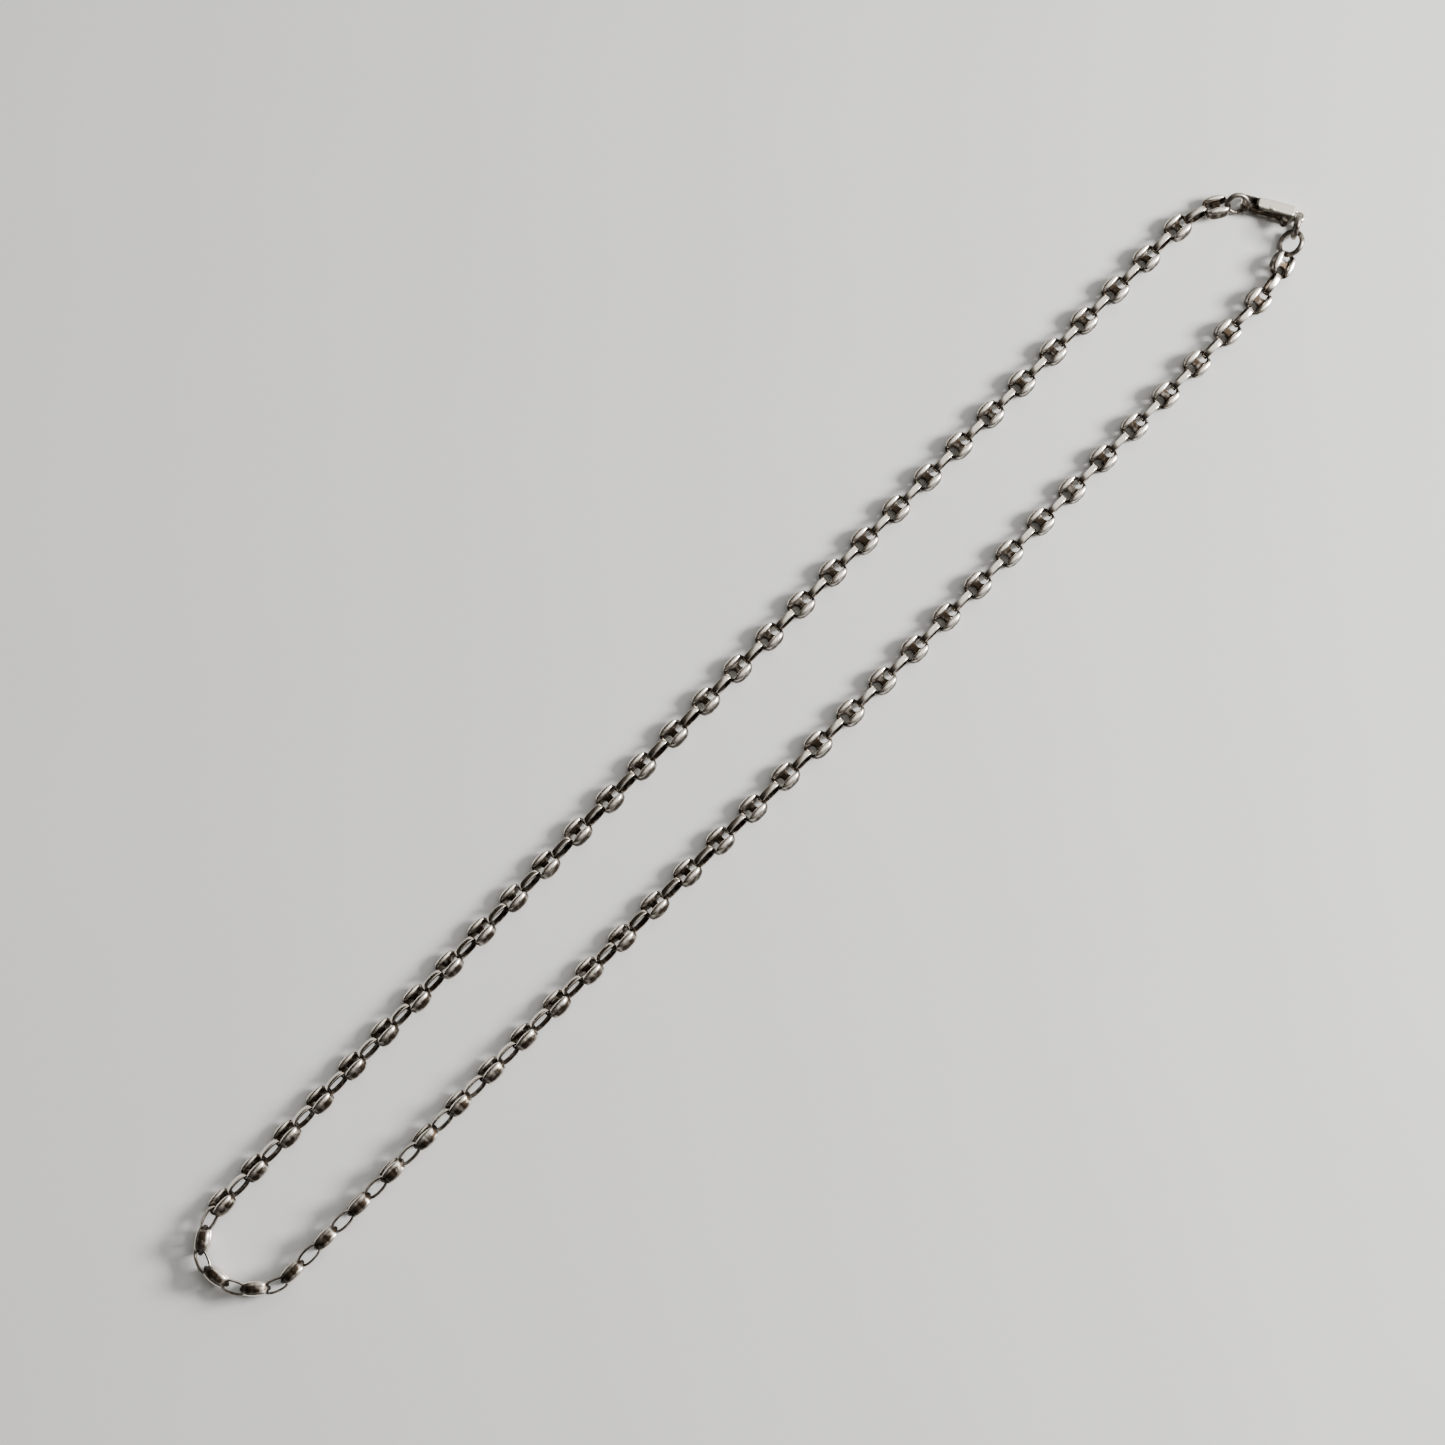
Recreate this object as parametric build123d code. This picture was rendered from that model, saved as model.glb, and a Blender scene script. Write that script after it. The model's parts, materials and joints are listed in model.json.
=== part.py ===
from build123d import *
import math
import os

# Chain necklace: puffed bean links joined by oval strip connectors, closed by a claw clasp.
# Millimetres, +Z up. +X runs from the bend to the clasp, +Y towards the left strand.
# The necklace lies on a table as a long hairpin. The origin is the bottom centre of its box.

# ---- chain ----
PITCH = 7.25                    # bean centre to bean centre on a straight stretch
SECTIONS = 10                   # sections in each strand, numbered from the bend
SECTION_LINKS = 3               # bean links in one section

# ---- bean link ----
BEAN_LENGTH = 5.0
BEAN_WIDTH = 4.4
BEAN_THICKNESS = 2.4
BEAN_SHOULDER = 2.2             # where the side curve meets the end curve, from the middle
BEAN_SHOULDER_HALF = 1.05       # half width of the bean there
BEAN_END_THICKNESS = 1.1
WEB_THICKNESS = 0.8
CHANNEL_MIDDLE = 1.5            # width of the sunk channel at the waist
CHANNEL_END = 2.2               # and at its ends
EYE_LENGTH = 1.5
EYE_WIDTH = 1.55
EYE_CORNER = 0.35
END_RIM = 0.4                   # metal left between the eye and the end of the bean

# ---- oval connector, bent from flat strip ----
STRIP_THICKNESS = 0.4
STRIP_WIDTH = 1.0
CONNECTOR_WIDTH = 2.25          # outside, across the oval
SEAT_GAP = 0.2                  # between the strip and the rim that it pulls on
BEND_SLACK = 0.33               # how far each interlock slides back where the chain turns

# ---- how the chain lies ----
LEFT_BEND_TURNS = (31, 31, 18, 15.9)   # degrees at each interlock, from the bend link out
RIGHT_BEND_TURNS = (20, 20, 21.5, 21.5)
BEND_TILT = 7                   # degrees that the bend link itself is turned past square
LEFT_BOW = 0.8                  # how far the left strand bows out
RIGHT_BOW = 1.0                 # how far the right strand shifts out on its way
RIGHT_BOW_START = 0.3           # where that shift starts, as a share of the run
RIGHT_BOW_SHARE = 0.45          # and how much of the run it takes
LEFT_ROLLS = ((0, 90), (1, 88), (2, 50), (10, 35), (22, 4), (30, 4), (32, 14), (33, 22))
RIGHT_ROLLS = ((0, 90), (1, 90), (3, 84), (10, 44), (19, 9), (27, 0), (32, -17), (33, -24))
LEFT_END_TURNS = (-3, -12, -17)        # at the last three interlocks before the catch ring
RIGHT_END_TURNS = (3, 7, 8)            # at the last three interlocks before the tail ring

# ---- rings ----
RING_WIRE = 0.65
RING_GAP = 0.12                 # between a ring and what it hangs on
CATCH_RING = 4.2                # outside diameters
TAIL_RING = 5.0
CLASP_RING = 4.5
CATCH_RING_ROLL = -41           # degrees from standing on edge
TAIL_RING_ROLL = 50
CATCH_RING_HEADING = -40
TAIL_RING_HEADING = 26
CLASP_RING_HEADING = -150

# ---- claw clasp, in its own axes: X from the hook to the tail, Y to the outer side ----
CLAW_HEADING = -61
CLAW_ROLL = -25
BODY_HEIGHT = 2.2
BODY_START = 2.5                # where the housing begins, from the outside of the hook
BODY_END = 9.0
BODY_OUTER = 1.3                # outer side of the housing, from the middle of the mouth
BODY_INNER = -1.15
BODY_CORNER = 0.8
BODY_EDGE = 0.45
HOOK_BAR = 0.7                  # width of the bar that the catch ring hangs on
HOOK_HEIGHT = 1.3
HOOK_RETURN = 1.4               # how far the hook's tip comes back under the mouth
MOUTH_LENGTH = 2.0              # opening that the catch ring passes through
MOUTH_WIDTH = 1.9
MOUTH_CORNER = 0.45
ARM_WIDTH = 0.5                 # of the hook's arms
ARM_ROOT = 0.5                  # how far the arms run into the housing
HOOK_CORNER = 0.9
POCKET_HEIGHT = 1.0             # slot in the housing for the lever and its spring
POCKET_WALL = 0.7
POCKET_LEAD = 0.6               # how far the slot reaches into the mouth
POCKET_TAIL = 0.9               # and past the lever's boss
LEVER_GAP = 0.1
LEVER_WIDTH = 0.55
LEVER_PIVOT = (5.1, -0.6)
LEVER_BOSS = 0.7
LEVER_SHIN = (3.0, -1.25)       # where the lever's arm bends under the mouth
LEVER_HEEL = (6.5, -1.45)        # where it turns out towards the thumb tab
THUMB_TAB = (7.5, -1.85)
THUMB_RADIUS = 0.65
THUMB_HEIGHT = 1.6
PIN_RADIUS = 0.3
PIN_HEAD_RADIUS = 0.48
PIN_CLEARANCE = 0.03
PIN_HEAD = 0.12                 # how far the rivet's heads stand proud
TAIL_EYE = (9.6, -0.1)
TAIL_EYE_RADIUS = 1.15
TAIL_HOLE_RADIUS = 0.65
TAIL_EYE_HEIGHT = 0.9
NECK_ROOT = 0.7                 # how far the tail eye's neck runs into the housing
NECK_WIDTH = 1.3
CLAW_SINK = 0.2                 # the corners of the housing are round, so the claw lies this much lower
SPRING_WIRE = 0.18
SPRING_RADIUS = 0.3             # to the middle of the wire
SPRING_SPOKE = 0.144            # bars that tie the coils to the core
SPRING_GAP = 0.03               # above the spring
SPRING_LIFT = 0.25              # from the lever's arm to the spring's lower end, clear of the slope
SPRING_TURNS = 4
SPRING_X = 3.9                  # the spring stands between the pocket's outer wall and the lever's arm

# ---- worked out from the above ----
BEANS = SECTIONS * SECTION_LINKS + 3               # in one strand, not counting the bend link
BENT_BEANS = 5                                     # of them, those at the bend and at the clasp
SEAT = BEAN_LENGTH / 2 - END_RIM - SEAT_GAP        # inside face of the strip, from the bean's middle
CONNECTOR_LENGTH = PITCH - 2 * SEAT + 2 * STRIP_THICKNESS
ARC_CENTRE = SEAT + CONNECTOR_WIDTH / 2 - STRIP_THICKNESS
STRIP_CENTRE = SEAT - STRIP_THICKNESS / 2
RING_SEAT = BEAN_LENGTH / 2 - END_RIM - RING_WIRE / 2 - RING_GAP
LEVER_HEIGHT = POCKET_HEIGHT - 2 * LEVER_GAP


def placed(solid, at, heading=0.0, climb=0.0, roll=0.0):
    """A piece moved from its own axes to its place: X along heading, raised by climb."""
    return Pos(*at) * Rot(0, 0, heading) * Rot(0, -climb, 0) * Rot(roll, 0, 0) * solid


def write(name, *solids):
    export_step(solids[0] if len(solids) == 1 else Compound(children=list(solids)), f"parts/{name}.step")


def prism(face, low, high):
    return Pos(0, 0, low) * extrude(face, high - low)


def mirrored_outline(points):
    """A closed face from one curved edge over the X axis and its mirror below."""
    start, middle, end = points
    top = ThreePointArc(start, middle, end)
    low = [(x, -y) for x, y in (end, middle, start)]
    bottom = ThreePointArc(*low)
    return make_face(Wire([top, Line(end, low[0]), bottom, Line(low[2], start)]))


# ------------------------------------------------------------------ links
def bean_link():
    half, wide, thick = BEAN_LENGTH / 2, BEAN_WIDTH / 2, BEAN_THICKNESS / 2
    shoulder, shoulder_half = BEAN_SHOULDER, BEAN_SHOULDER_HALF
    plan = make_face(
        Wire(
            [
                ThreePointArc((-shoulder, shoulder_half), (0, wide), (shoulder, shoulder_half)),
                ThreePointArc((shoulder, shoulder_half), (half, 0), (shoulder, -shoulder_half)),
                ThreePointArc((shoulder, -shoulder_half), (0, -wide), (-shoulder, -shoulder_half)),
                ThreePointArc((-shoulder, -shoulder_half), (-half, 0), (-shoulder, shoulder_half)),
            ]
        )
    )
    body = prism(plan, -thick, thick)
    side = mirrored_outline([(-half, BEAN_END_THICKNESS / 2), (0, thick), (half, BEAN_END_THICKNESS / 2)])
    body &= Rot(90, 0, 0) * prism(side, -wide, wide)
    section = SlotOverall(BEAN_WIDTH, BEAN_THICKNESS)
    body &= Rot(0, 90, 0) * Rot(0, 0, 90) * prism(section, -half, half)
    channel = mirrored_outline([(-half, CHANNEL_END / 2), (0, CHANNEL_MIDDLE / 2), (half, CHANNEL_END / 2)])
    cutter = prism(channel, WEB_THICKNESS / 2, thick)
    body -= cutter
    body -= Rot(180, 0, 0) * cutter
    eye = prism(RectangleRounded(EYE_LENGTH, EYE_WIDTH, EYE_CORNER), -thick, thick)
    eye_centre = half - END_RIM - EYE_LENGTH / 2
    for side_x in (-eye_centre, eye_centre):
        body -= Pos(side_x, 0, 0) * eye
    return body.solid()


def connector():
    """Oval ring of flat strip. Its plane holds X and Z, so it stands square to a bean's face."""
    inside = 2 * STRIP_THICKNESS
    face = SlotOverall(CONNECTOR_LENGTH, CONNECTOR_WIDTH)
    face -= SlotOverall(CONNECTOR_LENGTH - inside, CONNECTOR_WIDTH - inside)
    ring = prism(face, -STRIP_WIDTH / 2, STRIP_WIDTH / 2)
    return (Rot(90, 0, 0) * ring).solid()


def wire_ring(outside):
    """Round jump ring whose plane holds X and Z."""
    return Rot(90, 0, 0) * Torus(outside / 2 - RING_WIRE / 2, RING_WIRE / 2)


# ------------------------------------------------------------------ how the chain lies
def station(table, number):
    """Value at a bean number, straight between the stations of a short table."""
    for (n0, v0), (n1, v1) in zip(table, table[1:]):
        if number <= n1:
            return v0 + (v1 - v0) * (number - n0) / (n1 - n0)
    return table[-1][1]


def height_of(roll):
    """Height of a bean's middle above the table when it is rolled by this angle."""
    core = (BEAN_WIDTH - BEAN_THICKNESS) / 2
    return BEAN_THICKNESS / 2 + core * abs(math.sin(math.radians(roll)))


def pivot_of(roll, slack):
    """Distance from a bean's middle to the point that the connector turns about."""
    edge = math.sin(math.radians(roll)) ** 2
    return STRIP_CENTRE + (ARC_CENTRE - STRIP_CENTRE) * edge - slack


def strand(side):
    """Places of one strand's links from the bend link out: lists of (x, y, z, heading, climb, roll).

    Returns beans, connectors and the interlock pivots between them.
    """
    left = side > 0
    rolls = LEFT_ROLLS if left else RIGHT_ROLLS
    bend = LEFT_BEND_TURNS if left else RIGHT_BEND_TURNS
    ending = LEFT_END_TURNS if left else RIGHT_END_TURNS
    run = (BEANS - BENT_BEANS) * PITCH
    x, y = 0.0, 0.0
    heading = side * 90.0 + BEND_TILT
    beans = [(x, y, height_of(rolls[0][1]), heading, 0.0, -rolls[0][1])]
    connectors, pivots = [], []
    for number in range(1, BEANS + 1):
        before, after = station(rolls, number - 1), station(rolls, number)
        slack = BEND_SLACK if number <= 2 else 0.0
        out = pivot_of(before, slack)
        back = pivot_of(after, slack)
        along = (number - 2) / (BEANS - BENT_BEANS)
        if number <= 2:
            turns = bend[2 * number - 2], bend[2 * number - 1]
        elif number == BEANS - 1:
            turns = 0.0, ending[0]
        elif number == BEANS:
            turns = ending[1], ending[2]
        else:
            turns = (0.0, bow_turn(left, along, run))
        sign = -side if number <= 2 else 1
        x, y = step(x, y, heading, out)
        pivots.append((x, y))
        heading += sign * turns[0]
        gap = PITCH - pivot_of(before, 0) - pivot_of(after, 0)
        connectors.append((*step(x, y, heading, gap / 2), heading))
        x, y = step(x, y, heading, gap)
        pivots.append((x, y))
        heading += sign * turns[1]
        x, y = step(x, y, heading, back)
        beans.append((x, y, height_of(after), heading, 0.0, -after))
    placed_connectors = []
    for n, (cx, cy, ch) in enumerate(connectors):
        one, two = beans[n], beans[n + 1]
        climb = math.degrees(math.atan2(two[2] - one[2], PITCH))
        placed_connectors.append((cx, cy, (one[2] + two[2]) / 2, ch, climb, (one[5] + two[5]) / 2))
    return beans, placed_connectors, pivots


def step(x, y, heading, distance):
    a = math.radians(heading)
    return x + distance * math.cos(a), y + distance * math.sin(a)


def bow_turn(left, along, run):
    """Degrees that the chain turns at one bean so that the strand bows gently."""
    link = PITCH / run
    if left:
        slope = LEFT_BOW * math.pi / run
        return -math.degrees(slope * math.pi * link * math.sin(math.pi * along))
    phase = (along - RIGHT_BOW_START) / RIGHT_BOW_SHARE
    if 0 < phase < 1:
        slope = RIGHT_BOW * math.pi / 2 / (RIGHT_BOW_SHARE * run)
        return -math.degrees(slope * math.pi * link / RIGHT_BOW_SHARE * math.cos(math.pi * phase))
    return 0.0


def ring_height(outside, roll):
    """Height of a leaning ring's middle when it rests on the table."""
    middle = (outside - RING_WIRE) / 2
    return middle * abs(math.cos(math.radians(roll))) + RING_WIRE / 2


def turned(point, heading, roll):
    """A point of the clasp's own plane, turned by its roll and heading."""
    x, y = point
    lean, a = math.radians(roll), math.radians(heading)
    across = y * math.cos(lean)
    return (
        x * math.cos(a) - across * math.sin(a),
        x * math.sin(a) + across * math.cos(a),
        y * math.sin(lean),
    )


def clasp_places(left_end, right_end):
    """Places of the rings and the claw between the two last beans of the chain."""
    catch_reach = (CATCH_RING - RING_WIRE) / 2
    seat = step(left_end[0], left_end[1], left_end[3], RING_SEAT)
    catch = step(*seat, CATCH_RING_HEADING, catch_reach)
    mouth_seat = step(*catch, CATCH_RING_HEADING, catch_reach)
    hang = turned((HOOK_BAR + RING_WIRE / 2 + RING_GAP, 0), CLAW_HEADING, CLAW_ROLL)
    lift = BODY_HEIGHT / 2 * math.cos(math.radians(CLAW_ROLL))
    lift += BODY_OUTER * abs(math.sin(math.radians(CLAW_ROLL))) - CLAW_SINK
    claw = (mouth_seat[0] - hang[0], mouth_seat[1] - hang[1], lift)
    eye = turned(TAIL_EYE, CLAW_HEADING, CLAW_ROLL)
    eye_at = (claw[0] + eye[0], claw[1] + eye[1])
    clasp_ring = step(*eye_at, CLASP_RING_HEADING, (CLASP_RING - RING_WIRE) / 2)
    tail_seat = step(right_end[0], right_end[1], right_end[3], RING_SEAT)
    tail = step(*tail_seat, TAIL_RING_HEADING, (TAIL_RING - RING_WIRE) / 2)
    catch_height = ring_height(CATCH_RING, CATCH_RING_ROLL)
    clasp_height = ring_height(CLASP_RING, 0)
    tail_height = ring_height(TAIL_RING, TAIL_RING_ROLL)
    return {
        "catch_ring": ((*catch, catch_height), CATCH_RING_HEADING, CATCH_RING_ROLL),
        "claw": (claw, CLAW_HEADING, CLAW_ROLL),
        "clasp_ring": ((*clasp_ring, clasp_height), CLASP_RING_HEADING, 0),
        "tail_ring": ((*tail, tail_height), TAIL_RING_HEADING, TAIL_RING_ROLL),
    }


# ------------------------------------------------------------------ claw clasp
def claw_body():
    """Hook and housing in one piece: the bar, its two arms, the housing and the tail eye."""
    long = BODY_END - BODY_START
    middle_y = (BODY_OUTER + BODY_INNER) / 2
    plan = Pos(BODY_START + long / 2, middle_y) * RectangleRounded(long, BODY_OUTER - BODY_INNER, BODY_CORNER)
    housing = prism(plan, -BODY_HEIGHT / 2, BODY_HEIGHT / 2)
    rims = housing.edges().group_by(Axis.Z)[0] + housing.edges().group_by(Axis.Z)[-1]
    housing = fillet(rims, BODY_EDGE)
    hook_length = HOOK_BAR + MOUTH_LENGTH + ARM_ROOT
    hook_width = MOUTH_WIDTH + 2 * ARM_WIDTH
    outside = Pos(hook_length / 2, 0) * RectangleRounded(hook_length, hook_width, HOOK_CORNER)
    mouth = Pos(HOOK_BAR + MOUTH_LENGTH / 2, 0) * RectangleRounded(MOUTH_LENGTH, MOUTH_WIDTH, MOUTH_CORNER)
    opening = Pos(HOOK_RETURN + hook_length / 2, -hook_length / 2) * Rectangle(hook_length, hook_length)
    hook = prism(outside - mouth - opening, -HOOK_HEIGHT / 2, HOOK_HEIGHT / 2)
    cheek = prism(Pos(*TAIL_EYE) * Circle(TAIL_EYE_RADIUS), -TAIL_EYE_HEIGHT / 2, TAIL_EYE_HEIGHT / 2)
    neck_middle = (BODY_END + TAIL_EYE[0]) / 2 - NECK_ROOT
    neck = Pos(neck_middle, TAIL_EYE[1]) * Box(2 * NECK_ROOT, NECK_WIDTH, TAIL_EYE_HEIGHT)
    body = housing + hook + cheek + neck
    body -= prism(Pos(*TAIL_EYE) * Circle(TAIL_HOLE_RADIUS), -BODY_HEIGHT, BODY_HEIGHT)
    body -= pocket()
    body -= prism(Pos(*LEVER_PIVOT) * Circle(PIN_RADIUS), -BODY_HEIGHT, BODY_HEIGHT)
    return body.solid()


def pocket():
    """Slot for the lever and its spring, open to the mouth and to the inner side."""
    outer_wall = BODY_OUTER - POCKET_WALL
    low_x = HOOK_BAR + MOUTH_LENGTH - POCKET_LEAD
    high_x = LEVER_PIVOT[0] + LEVER_BOSS + POCKET_TAIL
    deep = outer_wall - BODY_INNER + BODY_HEIGHT
    at = Pos((low_x + high_x) / 2, outer_wall - deep / 2)
    return prism(at * Rectangle(high_x - low_x, deep), -POCKET_HEIGHT / 2, POCKET_HEIGHT / 2)


def lever():
    """Gate that closes the mouth, with its boss on the rivet and its thumb tab behind."""
    tip = (HOOK_RETURN + 1.5 * LEVER_GAP + LEVER_WIDTH / 2, -(MOUTH_WIDTH + ARM_WIDTH) / 2)
    arm = stroke([tip, LEVER_SHIN, LEVER_PIVOT])
    tail = stroke([LEVER_PIVOT, LEVER_HEEL, THUMB_TAB])
    plate = arm + tail + Pos(*LEVER_PIVOT) * Circle(LEVER_BOSS)
    body = prism(plate, -LEVER_HEIGHT / 2, LEVER_HEIGHT / 2)
    body += prism(Pos(*THUMB_TAB) * Circle(THUMB_RADIUS), -THUMB_HEIGHT / 2, THUMB_HEIGHT / 2)
    body -= prism(Pos(*LEVER_PIVOT) * Circle(PIN_RADIUS + PIN_CLEARANCE), -BODY_HEIGHT, BODY_HEIGHT)
    return body.solid()


def stroke(points):
    """Flat bar of the lever's width along a path."""
    face = None
    for start, end in zip(points, points[1:]):
        bar = SlotCenterToCenter(math.dist(start, end), LEVER_WIDTH)
        angle = math.degrees(math.atan2(end[1] - start[1], end[0] - start[0]))
        middle = ((start[0] + end[0]) / 2, (start[1] + end[1]) / 2)
        bar = Pos(*middle) * Rot(0, 0, angle) * bar
        face = bar if face is None else face + bar
    return face


def rivet():
    shaft = prism(Pos(*LEVER_PIVOT) * Circle(PIN_RADIUS), -BODY_HEIGHT / 2, BODY_HEIGHT / 2)
    for low in (-BODY_HEIGHT / 2 - PIN_HEAD, BODY_HEIGHT / 2):
        shaft += prism(Pos(*LEVER_PIVOT) * Circle(PIN_HEAD_RADIUS), low, low + PIN_HEAD)
    return shaft.solid()


def spring():
    """Coil spring between the pocket's outer wall and the lever's arm, as stacked turns on a core."""
    top = BODY_OUTER - POCKET_WALL - SPRING_GAP
    share = (SPRING_X - LEVER_SHIN[0]) / (LEVER_PIVOT[0] - LEVER_SHIN[0])
    arm_y = LEVER_SHIN[1] + share * (LEVER_PIVOT[1] - LEVER_SHIN[1])
    low = arm_y + LEVER_WIDTH / 2 + SPRING_LIFT
    length = top - low
    coil = Cylinder(SPRING_WIRE / 2, length)
    for n in range(SPRING_TURNS):
        at = -length / 2 + SPRING_WIRE / 2 + n * (length - SPRING_WIRE) / (SPRING_TURNS - 1)
        coil += Pos(0, 0, at) * Torus(SPRING_RADIUS, SPRING_WIRE / 2)
        coil += Pos(0, 0, at) * Box(2 * SPRING_RADIUS, SPRING_SPOKE, SPRING_SPOKE)
    return (Pos(SPRING_X, (top + low) / 2, 0) * Rot(90, 0, 0) * coil).solid()


# ------------------------------------------------------------------ build
def build():
    """Every piece by node name, in place relative to the middle of the bend link."""
    bean, oval = bean_link(), connector()
    pieces = {}
    ends = {}
    for side, word in ((1, "left"), (-1, "right")):
        beans, ovals, pivots = strand(side)
        ends[word] = beans[-1]
        if side > 0:
            pieces["bend_link"] = [placed(bean, beans[0][:3], *beans[0][3:])]
        for n in (1, 2):
            pieces[f"{word}_bend_link_{n}"] = [placed(bean, beans[n][:3], *beans[n][3:])]
        for n in range(3):
            pieces[f"{word}_bend_connector_{n + 1}"] = [placed(oval, ovals[n][:3], *ovals[n][3:])]
        for section in range(SECTIONS):
            first = 3 + section * SECTION_LINKS
            numbers = range(first, first + SECTION_LINKS)
            label = f"{section + 1:02d}"
            pieces[f"{word}_links_{label}"] = [placed(bean, beans[n][:3], *beans[n][3:]) for n in numbers]
            row = [placed(oval, ovals[n][:3], *ovals[n][3:]) for n in numbers]
            pieces[f"{word}_connectors_{label}"] = row
        pieces[f"{word}_end_link"] = [placed(bean, beans[-1][:3], *beans[-1][3:])]
    places = clasp_places(ends["left"], ends["right"])
    for name, size in (("catch_ring", CATCH_RING), ("clasp_ring", CLASP_RING), ("tail_ring", TAIL_RING)):
        at, heading, roll = places[name]
        pieces[name] = [placed(wire_ring(size), at, heading, 0, roll)]
    at, heading, roll = places["claw"]
    clasp = {"claw_body": claw_body, "claw_lever": lever, "claw_rivet": rivet, "claw_spring": spring}
    for name, make in clasp.items():
        pieces[name] = [placed(make(), at, heading, 0, roll)]
    return pieces


def main():
    os.makedirs("parts", exist_ok=True)
    pieces = build()
    boxes = [solid.bounding_box() for group in pieces.values() for solid in group]
    low = [min(getattr(box.min, axis) for box in boxes) for axis in "XYZ"]
    high = [max(getattr(box.max, axis) for box in boxes) for axis in "XYZ"]
    shift = Pos(-(low[0] + high[0]) / 2, -(low[1] + high[1]) / 2, -low[2])
    print("size", [round(b - a, 3) for a, b in zip(low, high)], "bend link at", shift.position)
    for name, group in pieces.items():
        write(name, *[shift * solid for solid in group])


if __name__ == "__main__":
    main()
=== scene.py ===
import json
import math

import bpy
import numpy as np
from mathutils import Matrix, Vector


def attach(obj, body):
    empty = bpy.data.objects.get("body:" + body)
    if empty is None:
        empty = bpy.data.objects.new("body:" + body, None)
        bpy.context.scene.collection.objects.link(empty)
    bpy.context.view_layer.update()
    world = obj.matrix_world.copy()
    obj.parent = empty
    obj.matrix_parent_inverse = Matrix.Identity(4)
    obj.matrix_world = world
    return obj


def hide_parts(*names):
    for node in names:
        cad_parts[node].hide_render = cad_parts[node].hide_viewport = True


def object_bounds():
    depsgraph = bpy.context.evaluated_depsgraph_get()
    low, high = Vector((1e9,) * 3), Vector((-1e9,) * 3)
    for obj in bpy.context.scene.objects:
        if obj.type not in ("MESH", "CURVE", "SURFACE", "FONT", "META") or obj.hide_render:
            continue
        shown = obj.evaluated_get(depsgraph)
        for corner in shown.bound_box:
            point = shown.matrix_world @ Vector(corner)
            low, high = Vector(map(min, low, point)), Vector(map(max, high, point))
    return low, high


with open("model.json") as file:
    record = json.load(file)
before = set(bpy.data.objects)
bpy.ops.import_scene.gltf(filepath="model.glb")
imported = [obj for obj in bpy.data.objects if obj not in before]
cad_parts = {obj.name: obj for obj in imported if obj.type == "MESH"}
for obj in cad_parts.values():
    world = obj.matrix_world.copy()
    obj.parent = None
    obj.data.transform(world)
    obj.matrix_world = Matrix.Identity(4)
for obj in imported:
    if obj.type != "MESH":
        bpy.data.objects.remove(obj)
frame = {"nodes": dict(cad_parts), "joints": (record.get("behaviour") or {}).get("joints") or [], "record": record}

bl_info = {
    "name": "Bean Link Necklace",
    "version": (1, 0, 0),
    "blender": (4, 5, 0),
    "location": "View3D > Sidebar > Necklace",
    "description": "Builds a silver necklace of puffed bean links with a claw clasp on its frame",
    "category": "Add Mesh",
}

MM = 0.001
CAD_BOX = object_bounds()

# How a skin is drawn onto its surface; lengths are shares of a facet.
PULLS = 4
SLOPE_STEP = 0.05
LONGEST_PULL = 0.4
LEAST_SLOPE = 0.05              # keeps a point from being thrown far where the field is flat

# Bean link, in millimetres, in its own axes: X along the chain, Z out of its face.
BEAN_HALF = 2.5                 # where the side and end arcs would reach, which the flare is measured by
SIDE_ARC_RADIUS = 2.679
SIDE_ARC_DROP = 0.479
END_ARC_RADIUS = 1.9875
END_ARC_SHIFT = 0.5125
OUTLINE_CORNER = 0.45           # softness where the side arcs meet the end arcs
CHANNEL_WAIST = 0.68            # half width of the sunk channel at the middle
CHANNEL_FLARE = 0.46            # and how much it widens to the bean's end
LOBE_CENTRE = 1.22              # from the bean's middle line to a lobe's
LOBE_HALF = (2.6, 0.97, 1.15)   # half length, half width and half thickness of a lobe
LOBE_EDGE = 0.42                # softness of the lobe's inner edge
LOBE_RIM = 0.3                  # and of its outer edge
PLATE_INSET = 0.02              # the plate that joins the lobes lies this far inside the outline
PLATE_HALF = 0.4
PLATE_EDGE = 0.42
LOBE_TO_PLATE = 0.16
EYE_CENTRE = 1.35
EYE_HALF = (0.75, 0.775)
EYE_CORNER = 0.69
EYE_EDGE = 0.2
BEAN_REACH = (2.7, 2.4, 1.4)    # half size of the block that a bean is skinned in
BEAN_LONG_AXIS = 1              # where a bean's length comes in the spread of its solid

# Oval connector of flat strip, in millimetres.
OVAL_HALF = (1.925, 0.925)      # half length and half width of the strip's middle line
OVAL_POWER = 2.5                # 2 is an ellipse, and more is squarer
OVAL_STEPS = 56
STRIP_HALF_WIDE = 0.5
STRIP_HALF_THICK = 0.2
STRIP_CORNER = 0.13
STRIP_CORNER_STEPS = 4

# Jump rings, in millimetres.
RING_TRIM = 0.12                # taken off a ring's outside, so that the heavier wire stays off the table
RING_STEPS = 96
RING_SIDES = 20
SEAM_STEP = 24                  # the step of the ring where its wire was closed
SEAM_WIRE = 0.84                # thickness left at the seam, as a share of the wire

# Claw clasp, in millimetres, in its own axes: X from the hook to the tail, Y to the outer side.
HOUSING_CENTRE = (5.75, 0.075)
HOUSING_HALF = (3.25, 1.225, 1.1)
HOUSING_CORNER = 0.7
HOOK_CENTRE = 1.6
HOOK_HALF = (1.6, 1.45, 0.65)
HOOK_CORNER = 0.9
MOUTH_CENTRE = 1.7
MOUTH_HALF = (1.0, 0.95)
MOUTH_CORNER = 0.45
MOUTH_EDGE = 0.3
CASTING_EDGE = 0.5              # softness of the outer edges of the housing and the hook
GATE = (1.4, 11.4)              # the hook's inner side is open from the first on; the second is past the claw
SHELF_CENTRE = (2.45, 0.3, -0.55)
SHELF_HALF = (0.85, 0.78, 0.09)
SHELF_CORNER = 0.2
TAIL_EYE = (9.6, -0.1)
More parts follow.
